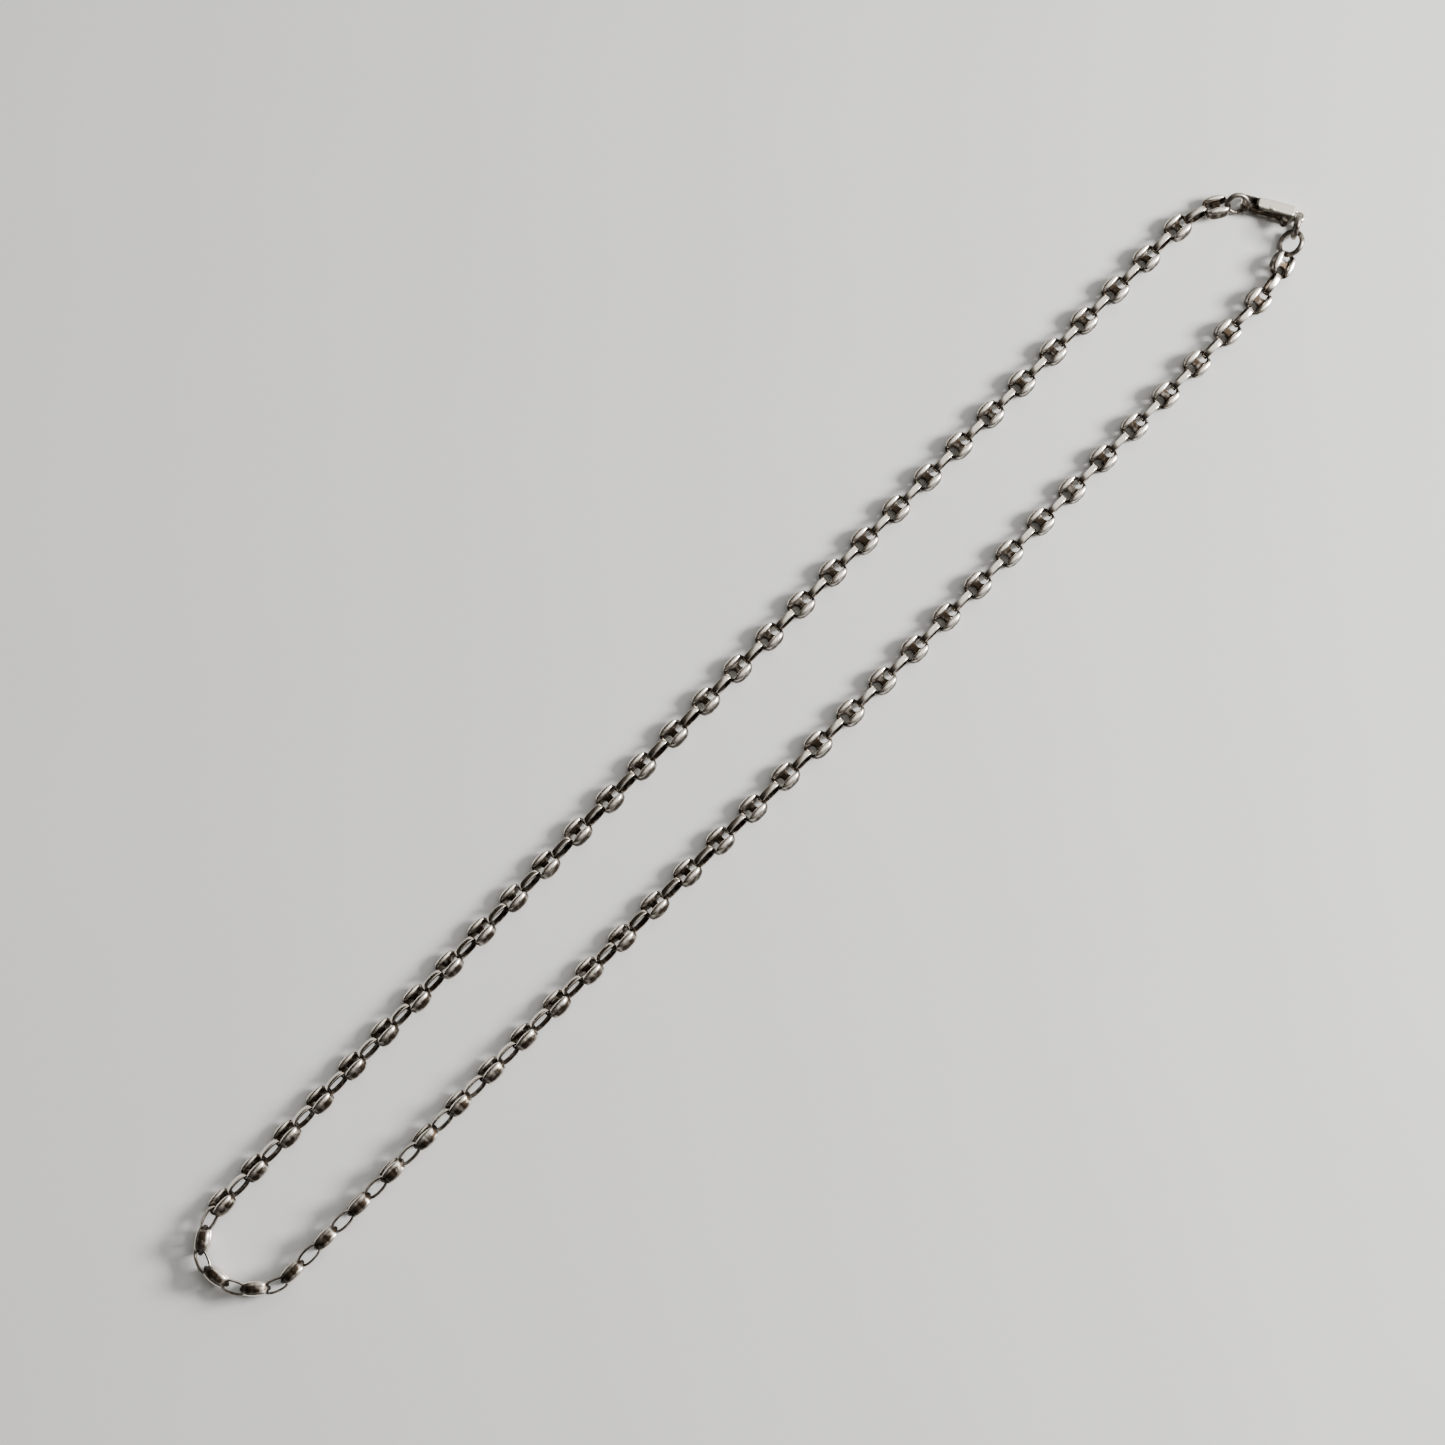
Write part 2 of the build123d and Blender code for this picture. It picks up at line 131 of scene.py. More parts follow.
TAIL_EYE_RADIUS = 0.65
TAIL_EYE_EDGE = 0.25
TAIL_RADIUS = 1.15
TAIL_HALF_THICK = 0.45
TAIL_EDGE = 0.4
NECK_CENTRE = 8.6
NECK_HALF = (0.7, 0.65)
NECK_CORNER = 0.1
NECK_EDGE = 0.3
JOIN = 0.3                      # softness where two limbs of the clasp run into each other
HOOK_JOIN = 0.25
POCKET = (2.1, 6.7, 0.6, 0.46)  # the lever's pocket: from, to, outer wall and half height
POCKET_EDGE = 0.1
LEVER_PIVOT = (5.1, -0.6)
LEVER_SHIN = (3.0, -1.25)
LEVER_HEEL = (6.5, -1.45)
LEVER_TIP = (1.82, -1.2)
LEVER_RADIUS = 0.27
LEVER_HALF_THICK = 0.4
LEVER_EDGE = 0.22
LEVER_JOIN = 0.2                # softness between the lever's arm and its tail
BOSS_RADIUS = 0.7
THUMB_TAB = (7.5, -1.85)
THUMB_TAB_RADIUS = 0.65
THUMB_TAB_HALF_THICK = 0.8
THUMB_TAB_EDGE = 0.4
THUMB_TAB_JOIN = 0.1
RIVET_RADIUS = 0.3
RIVET_HALF = 1.1
RIVET_HEAD = (0.48, 1.14, 0.08)  # radius, height of its middle and half thickness
RIVET_HEAD_EDGE = 0.12
SPRING_PLACE = 3.9
SPRING_ENDS = (-0.38, 0.56)
SPRING_RADIUS = 0.3
SPRING_WIRE_RADIUS = 0.09
SPRING_TURNS = 4.0
SPRING_STEPS = 96
SPRING_SIDES = 10
CLAW_LOW = (-0.3, -2.8, -1.4)   # the block that the clasp's pieces are skinned in
CLAW_HIGH = (11.0, 1.7, 1.4)
RIVET_CELL = 0.6                # the rivet's facets, as a share of the clasp's

# Tarnish and painted shade, from 0 where the silver is rubbed to 1 where it is black.
RING_TARNISH = 0.75
SPRING_TARNISH = 0.3
LEVER_SHADE = 0.35            # painted shade over the whole lever, added to the clasp's own darkening
# Painted shade down the beans' flanks and on their outer rim.
FLANK_SHADE = 0.65
OUTER_RIM_SHADE = 0.35
STRIP_INNER_TARNISH = 0.9
# Painted shade on the edges of the oval's strip.
STRIP_EDGE_SHADE = 0.5
# Tarnish and painted shade in the lever's pocket and on the lever there.
POCKET_TARNISH_AND_SHADE = 0.8
TAIL_EYE_TARNISH = 0.6
# Painted shade on the hook round the mouth, and along the clasp's inner side.
MOUTH_SHADE = 0.9
INNER_SIDE_SHADE = 0.7

# Finishes: grain is in cells to the metre.
SPRING_GREY = (0.42, 0.42, 0.43)
CLOUD_GRAIN = 900.0
SPOT_GRAIN = 3800.0
TARNISH_ROUGHNESS = 0.22        # added where the tarnish and painted shade are deepest
SPOT_STRENGTH = 0.12
SPOT_DEPTH = 0.00004
TABLE_FINE_GRAIN = 1400.0
TABLE_BROAD_GRAIN = 25.0
TABLE_DARKEST = 0.965           # darkest shade of the table, as a share of its colour
TABLE_SHINE = 0.25

# Stage, in metres and degrees. The camera's right is (0.70, -0.71) on the table.
TABLE_SIZE = 3.0
TABLE_DROP = 0.00002            # the table lies this far under the frame's lowest point
LENS = 85
SENSOR = 36
CAMERA_TURN = -45.59
CAMERA_LIFT = 81.8
CAMERA_DISTANCE = 0.5422
LOOK_AT = (-0.00359, 0.00483, 0.0)
LIGHT_AIM = (0, 0, 0)
# name, place, size, power, colour and whether it shows in the silver
LIGHTS = (
    ("window", (0.50, -0.40, 0.37), (0.22, 0.22), 15.0, (1.0, 0.985, 0.96), True),
    ("ceiling", (0.12, -0.1, 1.3), (0.9, 0.9), 1.0, (1.0, 0.99, 0.97), False),
)
ROOM_AXIS = (0.68, -0.08, 0.72)  # the direction that the room is brightest in
ROOM_STOPS = (
    (0.0, (0.012, 0.01, 0.008)),
    (0.4, (0.04, 0.034, 0.028)),
    (0.58, (0.15, 0.138, 0.12)),
    (0.68, (0.42, 0.4, 0.37)),
    (0.78, (1.5, 1.47, 1.41)),
    (1.0, (1.75, 1.72, 1.66)),
)


# ------------------------------------------------------------------ rounded solids
def smooth_max(a, b, k):
    """The larger of two distances with the corner between them rounded."""
    h = np.clip(k - np.abs(a - b), 0, None) / k
    return np.maximum(a, b) + h * h * k * 0.25


def smooth_min(a, b, k):
    """The smaller of two distances with the corner between them rounded."""
    return -smooth_max(-a, -b, k)


def plate(outline, z, half_thick, edge):
    """Flat plate of an outline, with its edges rounded."""
    return smooth_max(outline, np.abs(z) - half_thick, edge)


def rising(value, start, width):
    """0 up to start, and 1 from a width past it."""
    return np.clip((value - start) / width, 0, 1)


def falling(value, end, width):
    """1 until a width before end, and 0 past it."""
    return np.clip((end - value) / width, 0, 1)


def box_distance(x, y, half, corner):
    """Distance to a rectangle with rounded corners, centred on zero."""
    qx, qy = np.abs(x) - half[0] + corner, np.abs(y) - half[1] + corner
    outside = np.hypot(np.maximum(qx, 0), np.maximum(qy, 0))
    return outside + np.minimum(np.maximum(qx, qy), 0) - corner


def bar_distance(x, y, start, end, radius):
    """Distance to a round-ended bar between two points."""
    dx, dy = end[0] - start[0], end[1] - start[1]
    t = np.clip(((x - start[0]) * dx + (y - start[1]) * dy) / (dx * dx + dy * dy), 0, 1)
    return np.hypot(x - start[0] - t * dx, y - start[1] - t * dy) - radius


def skin(field, low, high, cell):
    """Closed quad mesh of the surface where field is zero: (points, faces)."""
    counts = [int(math.ceil((b - a) / cell)) + 1 for a, b in zip(low, high)]
    axes = [a + cell * np.arange(n) for a, n in zip(low, counts)]
    grid = np.stack(np.meshgrid(*axes, indexing="ij"), axis=-1)
    values = field(grid[..., 0], grid[..., 1], grid[..., 2])
    inside = values < 0
    cells = tuple(n - 1 for n in counts)
    total = np.zeros(cells + (3,))
    hits = np.zeros(cells)
    for axis in range(3):
        step = [0, 0, 0]
        step[axis] = 1
        others = [i for i in range(3) if i != axis]
        for u in (0, 1):
            for v in (0, 1):
                shift = [0, 0, 0]
                shift[others[0]], shift[others[1]] = u, v
                first = tuple(slice(s, s + n) for s, n in zip(shift, cells))
                second = tuple(slice(s + d, s + d + n) for s, d, n in zip(shift, step, cells))
                cross = inside[first] != inside[second]
                a, b = values[first], values[second]
                share = np.where(cross, a / np.where(cross, a - b, 1), 0)[..., None]
                total += np.where(cross[..., None], grid[first] * (1 - share) + grid[second] * share, 0)
                hits += cross
    used = hits > 0
    index = -np.ones(cells, dtype=int)
    index[used] = np.arange(used.sum())
    points = total[used] / hits[used][:, None]
    faces = []
    for axis in range(3):
        u, v = [(axis + 1) % 3, (axis + 2) % 3]
        lead = [slice(1, n) for n in cells]
        lead[axis] = slice(0, cells[axis])
        near = tuple(slice(s.start, s.stop) for s in lead)
        far = list(near)
        far[axis] = slice(1, cells[axis] + 1)
        cross = inside[near] != inside[tuple(far)]
        start = np.argwhere(cross)
        start[:, u] += 1
        start[:, v] += 1
        corners = []
        for du, dv in ((-1, -1), (0, -1), (0, 0), (-1, 0)):
            at = start.copy()
            at[:, u] += du
            at[:, v] += dv
            corners.append(index[at[:, 0], at[:, 1], at[:, 2]])
        quads = np.stack(corners, axis=1)
        flip = ~inside[near][cross]
        quads[flip] = quads[flip][:, ::-1]
        faces.append(quads)
    faces = np.concatenate(faces)
    for _ in range(PULLS):
        points = pulled(points, field, cell)
    return points, faces


def pulled(points, field, cell):
    """Points moved onto the surface along its slope."""
    h = cell * SLOPE_STEP
    x, y, z = points.T
    value = field(x, y, z)
    slope = np.stack(
        [
            field(x + h, y, z) - field(x - h, y, z),
            field(x, y + h, z) - field(x, y - h, z),
            field(x, y, z + h) - field(x, y, z - h),
        ],
        axis=1,
    ) / (2 * h)
    size = np.maximum((slope**2).sum(axis=1), LEAST_SLOPE)
    move = -(value / size)[:, None] * slope
    length = np.linalg.norm(move, axis=1)[:, None]
    return points + move * np.minimum(1, cell * LONGEST_PULL / np.maximum(length, 1e-9))


def tube(path, section, closed):
    """Skin swept along a path of frames: path holds (point, side, up), section holds (side, up) offsets."""
    count = len(section)
    points = np.array([p + s * a + u * b for p, s, u in path for a, b in section])
    faces = []
    rings = len(path)
    for n in range(rings if closed else rings - 1):
        for k in range(count):
            a, b = n * count + k, n * count + (k + 1) % count
            c, d = ((n + 1) % rings) * count + (k + 1) % count, ((n + 1) % rings) * count + k
            faces.append((a, b, c, d))
    return points, np.array(faces)


# ------------------------------------------------------------------ shapes of the pieces
def bean_outline(x, y):
    """Distance to the bean's plan: two side arcs and two end arcs."""
    side = np.hypot(x, np.abs(y) + SIDE_ARC_DROP) - SIDE_ARC_RADIUS
    end = np.hypot(np.abs(x) - END_ARC_SHIFT, y) - END_ARC_RADIUS
    return smooth_max(side, end, OUTLINE_CORNER)


def channel_half(x):
    """Half width of the sunk channel, which is narrow at the waist and wide at its ends."""
    return CHANNEL_WAIST + CHANNEL_FLARE * (x / BEAN_HALF) ** 2


def lobe(x, y, z):
    """One of the two puffed almonds, mirrored to the other side."""
    across = np.abs(y) - LOBE_CENTRE
    along_half, across_half, up_half = LOBE_HALF
    k0 = np.sqrt((x / along_half) ** 2 + (across / across_half) ** 2 + (z / up_half) ** 2)
    k1 = np.sqrt((x / along_half**2) ** 2 + (across / across_half**2) ** 2 + (z / up_half**2) ** 2)
    body = k0 * (k0 - 1) / np.maximum(k1, 1e-6)
    return smooth_max(body, channel_half(x) - np.abs(y), LOBE_EDGE)


def bean_field(x, y, z):
    """A bean: two lobes on a plate, with an eye through it at each end."""
    outline = bean_outline(x, y)
    puff = smooth_max(lobe(x, y, z), outline, LOBE_RIM)
    web = plate(outline + PLATE_INSET, z, PLATE_HALF, PLATE_EDGE)
    solid = smooth_min(puff, web, LOBE_TO_PLATE)
    eye = box_distance(np.abs(x) - EYE_CENTRE, y, EYE_HALF, EYE_CORNER)
    return smooth_max(solid, -eye, EYE_EDGE)


def bean_tarnish_and_shade(points):
    """How dark each point of a bean is: deepest in the channel and at the ends, which hold tarnish and painted
    shade, and less down the flanks and on the outer rim, which are painted shade.
    """
    x, y, z = np.abs(points).T
    sunk = falling(y, channel_half(x) + 0.24, 0.26)
    low = falling(z, 0.92, 0.3)
    ends = rising(x, 1.5, 0.6)
    flank = falling(z, 0.85, 0.45)
    outer = rising(y, 1.5, 0.35)
    return np.clip(sunk * low + ends + flank * FLANK_SHADE + outer * OUTER_RIM_SHADE, 0, 1)


def connector_mesh():
    """Oval of flat strip whose plane holds X and Z."""
    half_long, half_wide = OVAL_HALF
    path = []
    for n in range(OVAL_STEPS):
        a = 2 * math.pi * n / OVAL_STEPS
        c, s = math.cos(a), math.sin(a)
        x = half_long * math.copysign(abs(c) ** (2 / OVAL_POWER), c)
        z = half_wide * math.copysign(abs(s) ** (2 / OVAL_POWER), s)
        out_x = math.copysign(abs(x / half_long) ** (OVAL_POWER - 1) / half_long, c)
        out_z = math.copysign(abs(z / half_wide) ** (OVAL_POWER - 1) / half_wide, s)
        out = np.array([out_x, 0, out_z])
        path.append((np.array([x, 0, z]), np.array([0, 1.0, 0]), out / np.linalg.norm(out)))
    return tube(path, rounded_section(STRIP_HALF_WIDE, STRIP_HALF_THICK, STRIP_CORNER), True)


def rounded_section(half_wide, half_thick, corner):
    """Rectangle with rounded corners, as points across a strip."""
    section = []
    for sx, sy, start in ((1, 1, 0), (-1, 1, 90), (-1, -1, 180), (1, -1, 270)):
        for n in range(STRIP_CORNER_STEPS):
            a = math.radians(start + 90 // (STRIP_CORNER_STEPS - 1) * n)
            cx, cy = sx * (half_wide - corner), sy * (half_thick - corner)
            section.append((cx + corner * math.cos(a), cy + corner * math.sin(a)))
    return section


def round_section(radius, sides):
    """Circle of points across a wire."""
    turns = [2 * math.pi * k / sides for k in range(sides)]
    return [(radius * math.cos(a), radius * math.sin(a)) for a in turns]


def connector_tarnish_and_shade(points):
    """Darker on the inside and the edges of the strip than on its rubbed outer face: tarnish on the inside, and
    painted shade on the edges.
    """
    x, y, z = points.T
    half_long, half_wide = OVAL_HALF
    reach = (np.abs(x / half_long) ** OVAL_POWER + np.abs(z / half_wide) ** OVAL_POWER) ** (1 / OVAL_POWER)
    inner = falling(reach, 1.08, 0.08)
    edge = rising(np.abs(y), 0.34, 0.12)
    return np.clip(inner * STRIP_INNER_TARNISH + edge * STRIP_EDGE_SHADE, 0, 1)


def ring_mesh(outside, wire):
    """Round jump ring whose plane holds X and Z, with the fine seam where its wire was closed."""
    middle = (outside - wire) / 2
    path = []
    for n in range(RING_STEPS):
        a = 2 * math.pi * n / RING_STEPS
        out = np.array([math.cos(a), 0, math.sin(a)])
        path.append((out * middle, np.array([0, 1.0, 0]), out))
    points, faces = tube(path, round_section(wire / 2, RING_SIDES), True)
    step = np.arange(len(points)) // RING_SIDES
    shrink = np.where(step == SEAM_STEP, SEAM_WIRE, 1.0)[:, None]
    centre = np.repeat(np.array([p for p, _, _ in path]), RING_SIDES, axis=0)
    return centre + (points - centre) * shrink, faces


def tail_distance(x, y):
    """Distance to the middle of the eye in the claw's tail."""
    return np.hypot(x - TAIL_EYE[0], y - TAIL_EYE[1])


def housing_field(x, y, z):
    """Hook, housing and tail eye of the claw in one smooth casting, with the lever's pocket cut out."""
    centre_x, centre_y = HOUSING_CENTRE
    outline = box_distance(x - centre_x, y - centre_y, HOUSING_HALF[:2], HOUSING_CORNER)
    housing = plate(outline, z, HOUSING_HALF[2], CASTING_EDGE)
    tail = plate(tail_distance(x, y) - TAIL_RADIUS, z, TAIL_HALF_THICK, TAIL_EDGE)
    neck = box_distance(x - NECK_CENTRE, y - TAIL_EYE[1], NECK_HALF, NECK_CORNER)
    neck = plate(neck, z, TAIL_HALF_THICK, NECK_EDGE)
    front = smooth_min(housing, hook_field(x, y, z), HOOK_JOIN)
    body = smooth_min(front, smooth_min(tail, neck, JOIN), JOIN)
    body = smooth_max(body, -(tail_distance(x, y) - TAIL_EYE_RADIUS), TAIL_EYE_EDGE)
    start, end, wall, half_high = POCKET
    pocket = np.maximum(np.maximum(start - x, x - end), np.maximum(y - wall, np.abs(z) - half_high))
    return smooth_max(body, -pocket, POCKET_EDGE)


def hook_field(x, y, z):
    """The hook round the mouth, open at the gate, with a thin shelf across one face of the mouth."""
    outside = box_distance(x - HOOK_CENTRE, y, HOOK_HALF[:2], HOOK_CORNER)
    mouth = box_distance(x - MOUTH_CENTRE, y, MOUTH_HALF, MOUTH_CORNER)
    hook = plate(smooth_max(outside, -mouth, MOUTH_EDGE), z, HOOK_HALF[2], CASTING_EDGE)
    hook = np.maximum(hook, -gate_distance(x, y))
    centre_x, centre_y, centre_z = SHELF_CENTRE
    shelf = box_distance(x - centre_x, y - centre_y, SHELF_HALF[:2], SHELF_CORNER)
    return np.minimum(hook, np.maximum(shelf, np.abs(z - centre_z) - SHELF_HALF[2]))


def gate_distance(x, y):
    """Distance to the gap on the hook's inner side, which the lever's tip closes."""
    start, end = GATE
    return np.maximum(np.maximum(start - x, y), x - end)


def lever_field(x, y, z):
    """The claw's lever: a bent arm and tail on a boss, with its thumb tab."""
    arm = smooth_min(
        bar_distance(x, y, LEVER_TIP, LEVER_SHIN, LEVER_RADIUS),
        bar_distance(x, y, LEVER_SHIN, LEVER_PIVOT, LEVER_RADIUS),
        JOIN,
    )
    tail = smooth_min(
        bar_distance(x, y, LEVER_PIVOT, LEVER_HEEL, LEVER_RADIUS),
        bar_distance(x, y, LEVER_HEEL, THUMB_TAB, LEVER_RADIUS),
        JOIN,
    )
    boss = np.hypot(x - LEVER_PIVOT[0], y - LEVER_PIVOT[1]) - BOSS_RADIUS
    outline = smooth_min(smooth_min(arm, tail, LEVER_JOIN), boss, JOIN)
    lever = plate(outline, z, LEVER_HALF_THICK, LEVER_EDGE)
    tab = np.hypot(x - THUMB_TAB[0], y - THUMB_TAB[1]) - THUMB_TAB_RADIUS
    tab = plate(tab, z, THUMB_TAB_HALF_THICK, THUMB_TAB_EDGE)
    return smooth_min(lever, tab, THUMB_TAB_JOIN)


def rivet_field(x, y, z):
    """The lever's rivet: a shaft with a low head on each side."""
    r = np.hypot(x - LEVER_PIVOT[0], y - LEVER_PIVOT[1])
    shaft = np.maximum(r - RIVET_RADIUS, np.abs(z) - RIVET_HALF)
    radius, middle, half_thick = RIVET_HEAD
    head = smooth_max(r - radius, np.abs(np.abs(z) - middle) - half_thick, RIVET_HEAD_EDGE)
    return np.minimum(shaft, head)


def spring_mesh():
    """Coil spring between the housing wall and the lever's arm: (points, faces, end caps)."""
    low, high = SPRING_ENDS
    wire = SPRING_WIRE_RADIUS
    path = []
    for n in range(SPRING_STEPS + 1):
        a = 2 * math.pi * SPRING_TURNS * n / SPRING_STEPS
        out = np.array([math.cos(a), 0, math.sin(a)])
        at = np.array([SPRING_PLACE, low + wire + (high - low - 2 * wire) * n / SPRING_STEPS, 0])
        path.append((at + out * SPRING_RADIUS, np.array([0, 1.0, 0]), out))
    points, faces = tube(path, round_section(wire, SPRING_SIDES), False)
    caps = []
    for step in (0, SPRING_STEPS):
        first = step * SPRING_SIDES
        middle = len(points)
        points = np.vstack([points, points[first : first + SPRING_SIDES].mean(axis=0)])
        for k in range(SPRING_SIDES):
            a, b = first + k, first + (k + 1) % SPRING_SIDES
            caps.append((a, b, middle) if step else (b, a, middle))
    return points, faces, caps


# ------------------------------------------------------------------ places from the frame
def vertex_places(mesh):
    """Every vertex of a mesh, in millimetres."""
    points = np.empty(len(mesh.vertices) * 3)
    mesh.vertices.foreach_get("co", points)
    return points.reshape(-1, 3) / MM


def solid_labels(points, triangles):
    """A number for each triangle that is the same all over one solid."""
    _, welded = np.unique(np.round(points, 3), axis=0, return_inverse=True)
    welded = welded.reshape(-1)
    corner = welded[triangles]
    label = np.arange(welded.max() + 1)
    while True:
        lowest = label[corner].min(axis=1)
        before = label.copy()
        for k in range(3):
            np.minimum.at(label, corner[:, k], lowest)
        label = label[label]
        if (label == before).all():
            return label[corner[:, 0]]


def loose_solids(node):
    """Centre and own axes, by falling spread, of each solid in a frame node, in millimetres."""
    mesh = frame["nodes"][node].data
    mesh.calc_loop_triangles()
    points = vertex_places(mesh)
    triangles = np.empty(len(mesh.loop_triangles) * 3, dtype=np.int32)
    mesh.loop_triangles.foreach_get("vertices", triangles)
    triangles = triangles.reshape(-1, 3)
    label = solid_labels(points, triangles)
    found = []
    for value in np.unique(label):
        mine = triangles[label == value]
        origin = points[mine].mean(axis=(0, 1))
        a, b, c = (points[mine[:, k]] - origin for k in range(3))
        volume = np.einsum("ij,ij->i", a, np.cross(b, c)) / 6
        total = volume.sum()
        centre = (volume[:, None] * (a + b + c) / 4).sum(axis=0) / total
        spread = sum(np.einsum("i,ij,ik->jk", volume, v, v) for v in (a, b, c, a + b + c)) / 20
        spread = spread / total - np.outer(centre, centre)
        _, vectors = np.linalg.eigh(spread)
        found.append((centre + origin, vectors[:, ::-1].T))
    return found


def right_handed(x_axis, z_axis):
    """Three square axes from X and a rough Z."""
    x_axis = x_axis / np.linalg.norm(x_axis)
    z_axis = z_axis - x_axis * x_axis.dot(z_axis)
    z_axis = z_axis / np.linalg.norm(z_axis)
    return np.array([x_axis, np.cross(z_axis, x_axis), z_axis])


def claw_place():
    """Origin and axes of the claw, from the lever's hinge and the level lie of the claw."""
    hinge = next(j for j in frame["joints"] if j["name"] == "lever_open")
    z_axis = -np.array(hinge["axis"], dtype=float)
    z_axis /= np.linalg.norm(z_axis)
    x_axis = np.cross((0, 0, 1.0), z_axis)
    tail = next(j for j in frame["joints"] if j["child"] == "claw")
    pivot = np.array(hinge["pos_m"], dtype=float) / MM
    toward = np.array(tail["pos_m"], dtype=float) / MM - pivot
    if x_axis.dot(toward) < 0:
        x_axis = -x_axis
    axes = right_handed(x_axis, z_axis)
    return pivot - axes[0] * LEVER_PIVOT[0] - axes[1] * LEVER_PIVOT[1], axes


# ------------------------------------------------------------------ making objects
def body_of_node(node):
    """The body that a frame node belongs to."""
    return next(body for body, nodes in frame["record"]["behaviour"]["bodies"].items() if node in nodes)


def new_piece(name, parts, material, node):
    """One object from parts of (points, faces, tarnish and painted shade, triangles) in millimetres, for a frame
    node.
    """
    points, quads, tris, dark = [], [], [], []
    start = 0
    for part_points, part_faces, part_dark, part_tris in parts:
        points.append(part_points)
        quads.append(part_faces + start)
        dark.append(part_dark)
        tris.extend([[i + start for i in t] for t in part_tris])
        start += len(part_points)
    everything = np.concatenate(points) * MM
    faces = np.concatenate(quads).tolist() + tris
    mesh = bpy.data.meshes.new(name)
    mesh.from_pydata(everything.tolist(), [], faces)
    mesh.validate()
    mesh.polygons.foreach_set("use_smooth", [True] * len(mesh.polygons))
    # Each point's share of tarnish and painted shade, which darkens the silver.
    shade = mesh.attributes.new("tarnish_and_shade", "FLOAT", "POINT")
    shade.data.foreach_set("value", np.concatenate(dark).astype(np.float32))
    mesh.update()
    piece = bpy.data.objects.new(name, mesh)
    bpy.context.scene.collection.objects.link(piece)
    mesh.materials.append(material)
    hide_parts(node)
    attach(piece, body_of_node(node))
    return piece


def put(points, place):
    """Points moved from a piece's own axes to its place in the necklace."""
    centre, axes = place
    return points @ axes + centre


# ------------------------------------------------------------------ finishes
def node_setup(name):
    """A material and its nodes and links, which are None if it was made before."""
    material = bpy.data.materials.get(name)
    if material:
        return material, None, None
    material = bpy.data.materials.new(name)
    material.use_nodes = True
    return material, material.node_tree.nodes, material.node_tree.links


def noise(nodes, links, scale, detail, rough):
    """Noise over the piece's own coordinates."""
    place = nodes.new("ShaderNodeTexCoord")
    texture = nodes.new("ShaderNodeTexNoise")
    texture.inputs["Scale"].default_value = scale
    texture.inputs["Detail"].default_value = detail
    texture.inputs["Roughness"].default_value = rough
    links.new(place.outputs["Object"], texture.inputs["Vector"])
    return texture.outputs["Fac"]


def ranged(nodes, links, source, low, high, to_low, to_high):
    """A socket's values from one range brought to another."""
    mapping = nodes.new("ShaderNodeMapRange")
    mapping.inputs["From Min"].default_value = low
    mapping.inputs["From Max"].default_value = high
    mapping.inputs["To Min"].default_value = to_low
    mapping.inputs["To Max"].default_value = to_high
    links.new(source, mapping.inputs["Value"])
    return mapping.outputs["Result"]


def maths(nodes, links, operation, a, b):
    """Two sockets or numbers added or multiplied, kept between 0 and 1."""
    node = nodes.new("ShaderNodeMath")
    node.operation = operation
    node.use_clamp = True
    for socket, value in zip(node.inputs, (a, b)):
        if isinstance(value, (int, float)):
            socket.default_value = value
        else:
            links.new(value, socket)
    return node.outputs[0]


def silver(name, bright, dull, roughness, haze_amount):
    """Silver that is bright where it is rubbed, and brown-black where its mask holds tarnish and painted shade."""
    material, nodes, links = node_setup(name)
    if nodes is None:
        return material
    shader = nodes["Principled BSDF"]
    shader.inputs["Metallic"].default_value = 1.0
    mask = nodes.new("ShaderNodeAttribute")
    mask.attribute_name = "tarnish_and_shade"
    cloud = noise(nodes, links, CLOUD_GRAIN, 4.0, 0.6)
    spots = noise(nodes, links, SPOT_GRAIN, 2.0, 0.5)
    patchy = ranged(nodes, links, cloud, 0.3, 0.7, 0.75, 1.25)
    # The mask holds tarnish and painted shade; the cloud makes it patchy.
    tarnish_and_shade_patches = maths(nodes, links, "MULTIPLY", mask.outputs["Fac"], patchy)
    haze = ranged(nodes, links, cloud, 0.45, 0.8, 0.0, haze_amount)
    factor = maths(nodes, links, "ADD", tarnish_and_shade_patches, haze)
    mix = nodes.new("ShaderNodeMix")
    mix.data_type = "RGBA"
    mix.inputs["A"].default_value = (*bright, 1)
    mix.inputs["B"].default_value = (*dull, 1)
    links.new(factor, mix.inputs["Factor"])
    links.new(mix.outputs["Result"], shader.inputs["Base Color"])
    worn = ranged(nodes, links, spots, 0.3, 0.75, roughness[0], roughness[1])
    tarnished = maths(nodes, links, "MULTIPLY", factor, TARNISH_ROUGHNESS)
    links.new(maths(nodes, links, "ADD", worn, tarnished), shader.inputs["Roughness"])
    bump = nodes.new("ShaderNodeBump")
    bump.inputs["Strength"].default_value = SPOT_STRENGTH
    bump.inputs["Distance"].default_value = SPOT_DEPTH
    links.new(spots, bump.inputs["Height"])
    links.new(bump.outputs["Normal"], shader.inputs["Normal"])
    return material


def aged_silver(look):
    """Finish of the beans."""
    return silver("aged silver", look.bright, look.tarnish_and_shade, (0.2, 0.32), 0.22)


def strip_silver(look):
    """Finish of the oval connectors, smoother than the beans."""
    return silver("rubbed strip silver", look.bright, look.tarnish_and_shade, (0.1, 0.2), 0.06)


def satin_silver(look):
    """Finish of the clasp."""
    return silver("satin silver", look.clasp, look.tarnish_and_shade, (0.26, 0.4), 0.06)


def ring_silver(look):
    """Finish of the jump rings."""
    return silver("ring silver", look.bright, look.tarnish_and_shade, (0.18, 0.3), 0.1)


def spring_wire(look):
    """Grey steel of the spring."""
    return silver("spring wire", SPRING_GREY, look.tarnish_and_shade, (0.3, 0.4), 0.2)


